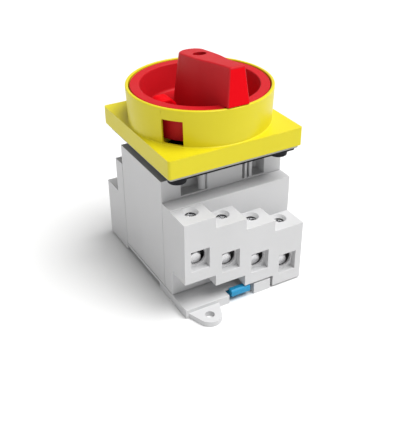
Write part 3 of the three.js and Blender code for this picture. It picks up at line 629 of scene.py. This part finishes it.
def handle():
    lip, fillet = BOWL["lip"], BOWL["fillet"]
    wall, rim, skin, side = BOWL["wall"], BOWL["rim"], GRIP["skin"], GRIP["half_width"]
    profile = [(0, BOWL_BOTTOM), (wall, BOWL_BOTTOM), (wall, BOWL_FLANGE), (rim, BOWL_FLANGE)]
    profile += arc(rim - lip, BOWL_TOP - lip, lip, 0, 90, 6)
    profile += arc(BOWL["inside"] + lip, BOWL_TOP - lip, lip, 90, 180, 6)
    hollow = arc(BOWL["foot"] - fillet, BOWL_FLOOR + fillet, fillet, 0, -90, 8)
    bowl = lathe(profile + hollow + [(0, BOWL_FLOOR)], LARGE_ROUND)
    ring_low, ring_high = TOOL_ENDS["ring"]
    overhang = cut(
        box(-side, side, -GRIP["reach"], GRIP["waist_y"], TOOL_ENDS["grip"], GRIP["clear"]),
        post(wall - skin, wall - skin, ring_low, ring_high, sides=LARGE_ROUND),
        post(rim - skin, rim - skin, BOWL_FLANGE + skin, ring_high, sides=LARGE_ROUND),
    )
    slot, square = SLIDE_SLOT, BORE["square"]
    return cut(
        join(bowl, cut(grip(), overhang)),
        box(slot["x0"], slot["x1"], -slot["half"], slot["half"], BOWL_BOTTOM - LAP, BOWL_FLOOR + LAP),
        ring_window(BOWL["foot"] - 2 * LAP, BOWL_FLOOR + LAP, LOCK_ANGLE + QUARTER_TURN),
        box(-square, square, -square, square, TOOL_ENDS["socket"], BORE["socket_top"]),
        post(BORE["pilot"], BORE["pilot"], *TOOL_ENDS["pilot"]),
        post(BORE["r"], BORE["r"], BORE["low"], TOOL_ENDS["bore"]),
    )


def paint_pointer_highlight(obj):
    """The end face of the pointer gets the lighter red as a painted highlight, for the front light falling on
    that face.
    """
    obj.data.materials.append(RED_PAINTED_HIGHLIGHT)
    for face in obj.data.polygons:
        at_tip = face.center.y < GRIP["tip_y"] * MM and abs(face.center.x) < GRIP["waist"] * MM
        if at_tip and face.normal.y < POINTER_FACING:
            face.material_index = 1


# ---------- copies of CAD nodes with softened edges ----------
def refined(node, body, material, width, segments=3):
    """A clean copy of a CAD node: whole faces instead of triangles, rounded edges."""
    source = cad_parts[node]
    obj = bpy.data.objects.new(node + "_skin", source.data.copy())
    bpy.context.scene.collection.objects.link(obj)
    obj.data.transform(Matrix.Scale(1 / MM, 4))
    return piece(node + "_skin", obj, body, material, node, width, segments)


# ---------- detent springs ----------
def coil():
    """Round wire wound round a line along X, from the plunger's shoulder to the backstop."""
    wire, r, z = SPRING["wire"], SPRING["r"], SPRING["z"]
    length = SPRING["x1"] - SPRING["x0"] - 2 * wire
    sweep = 2 * math.pi * SPRING["turns"]
    rings = []
    for k in range(SPRING["steps"] + 1):
        t = k / SPRING["steps"]
        outward = Vector((0, math.cos(sweep * t), math.sin(sweep * t)))
        centre = Vector((SPRING["x0"] + wire + length * t, 0, z)) + outward * r
        along = Vector((length / sweep, -outward.z * r, outward.y * r)).normalized()
        across = along.cross(outward)
        angles = [2 * math.pi * n / SPRING["sides"] for n in range(SPRING["sides"])]
        rings.append([centre + (outward * math.cos(a) + across * math.sin(a)) * wire for a in angles])
    return loft(rings, "coil")


def detent_springs():
    """Two coil springs in place of the CAD springs, the left one turned half round."""
    for side, angle, sign in (("right", 0.0, 1), ("left", 180.0, -1)):
        obj = turned(coil(), angle)
        obj.data.transform(Matrix.Scale(MM, 4))
        obj.name = f"detent_spring_{side}_skin"
        obj.data.shade_smooth()
        obj.data.materials.append(STEEL)
        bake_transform(obj)
        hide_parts(f"detent_spring_{side}")


# ---------- stage ----------
CAMERA = {
    "azimuth": -29.09, "elevation": 32.01, "roll": -0.439, "distance": 0.35013, "aim_z": 0.02042,
    "focal_px": 724.3, "shift_x": 0.01104, "shift_y": 0.0177,
}
LONG_SIDE_PX, SENSOR = 422.0, 36.0
KEY = {"from": (0.40, -0.40, 1.3), "strength": 3.85, "angle": 44.0}
SKY = {"horizon": 0.96, "above": 0.34, "low": 0.12, "high": 0.38}
FLOOR = {"half": 4000, "depth": 20, "tone": (0.78, 0.78, 0.78)}


def camera():
    data = bpy.data.cameras.new("camera")
    data.sensor_width = SENSOR
    data.lens = CAMERA["focal_px"] * SENSOR / LONG_SIDE_PX
    data.shift_x = CAMERA["shift_x"]
    data.shift_y = CAMERA["shift_y"]
    data.clip_start = 0.01
    obj = bpy.data.objects.new("camera", data)
    bpy.context.scene.collection.objects.link(obj)
    a, e = math.radians(CAMERA["azimuth"]), math.radians(CAMERA["elevation"])
    back = Vector((math.sin(a) * math.cos(e), -math.cos(a) * math.cos(e), math.sin(e)))
    obj.location = Vector((0, 0, CAMERA["aim_z"])) + back * CAMERA["distance"]
    obj.rotation_mode = "QUATERNION"
    level = (-back).to_track_quat("-Z", "Y").to_matrix()
    obj.rotation_quaternion = (level @ Matrix.Rotation(math.radians(CAMERA["roll"]), 3, "Z")).to_quaternion()
    bpy.context.scene.camera = obj


def key_light():
    """Broad soft key from the front right."""
    data = bpy.data.lights.new("key", "SUN")
    data.energy = KEY["strength"]
    data.angle = math.radians(KEY["angle"])
    obj = bpy.data.objects.new("key", data)
    bpy.context.scene.collection.objects.link(obj)
    obj.location = KEY["from"]
    obj.rotation_mode = "QUATERNION"
    obj.rotation_quaternion = (-Vector(KEY["from"])).to_track_quat("-Z", "Y")


def studio_world():
    """Dim soft surround that brightens towards the horizon."""
    world = bpy.data.worlds.new("studio")
    bpy.context.scene.world = world
    world.use_nodes = True
    tree = world.node_tree
    coords = tree.nodes.new("ShaderNodeTexCoord")
    split = tree.nodes.new("ShaderNodeSeparateXYZ")
    height = tree.nodes.new("ShaderNodeMapRange")
    rise = {"From Min": SKY["low"], "From Max": SKY["high"], "To Min": SKY["horizon"], "To Max": SKY["above"]}
    for name, value in rise.items():
        height.inputs[name].default_value = value
    tree.links.new(coords.outputs["Generated"], split.inputs["Vector"])
    tree.links.new(split.outputs["Z"], height.inputs["Value"])
    tree.links.new(height.outputs["Result"], tree.nodes["Background"].inputs["Strength"])
    tree.nodes["Background"].inputs["Color"].default_value = (1, 1, 1, 1)


def stage():
    half = FLOOR["half"]
    floor = box(-half, half, -half, half, -FLOOR["depth"], 0)
    floor.name = "floor"
    floor.data.transform(Matrix.Scale(MM, 4))
    floor.data.materials.append(floor_paper("floor_paper", FLOOR["tone"]))
    studio_world()
    key_light()
    scene = bpy.context.scene
    scene.view_settings.view_transform = "Standard"
    scene.view_settings.look = "None"


# ---------- put together ----------
camera()
stage()
terminal_shells()
clamps()
piece("front_plate_skin", front_plate(), "body", YELLOW_PLASTIC, "front_plate", 0.35)
handle_skin = piece("handle_skin", handle(), "handle", RED_PLASTIC, "handle", 0.25)
paint_pointer_highlight(handle_skin)
for node in ("base", "housing"):
    refined(node, "body", HOUSING, 0.3)
refined("backing_plate", "body", BLACK, 0.3)
refined("gasket", "body", GASKET, 0.15)
# the padlock slide takes the lighter red as a painted highlight, for the front light falling on its face
refined("padlock_slide", "padlock_slide", RED_PAINTED_HIGHLIGHT, 1.2, 5)
refined("din_clip", "din_clip", BLUE, 0.3)
for node in ["mechanism_cover", "detent_frame"] + [f"contact_deck_{n}" for n in range(1, POLES + 1)]:
    refined(node, "body", DECK, 0.2)
for node in ["detent_cam"] + [f"rotor_{n}" for n in range(1, POLES + 1)]:
    refined(node, "handle", ROTOR, 0.15)
for n in range(1, POLES + 1):
    refined(f"moving_contact_{n}", "handle", COPPER, 0.12)
    for side in ("front", "rear"):
        refined(f"fixed_contact_{side}_{n}", "body", COPPER, 0.15)
    refined(f"plate_screw_{n}", "body", STEEL, 0.15)
for node in ("shaft", "handle_screw"):
    refined(node, "handle", STEEL, 0.2)
for side in ("right", "left"):
    refined(f"detent_plunger_{side}", f"detent_plunger_{side}", STEEL, 0.1)
detent_springs()
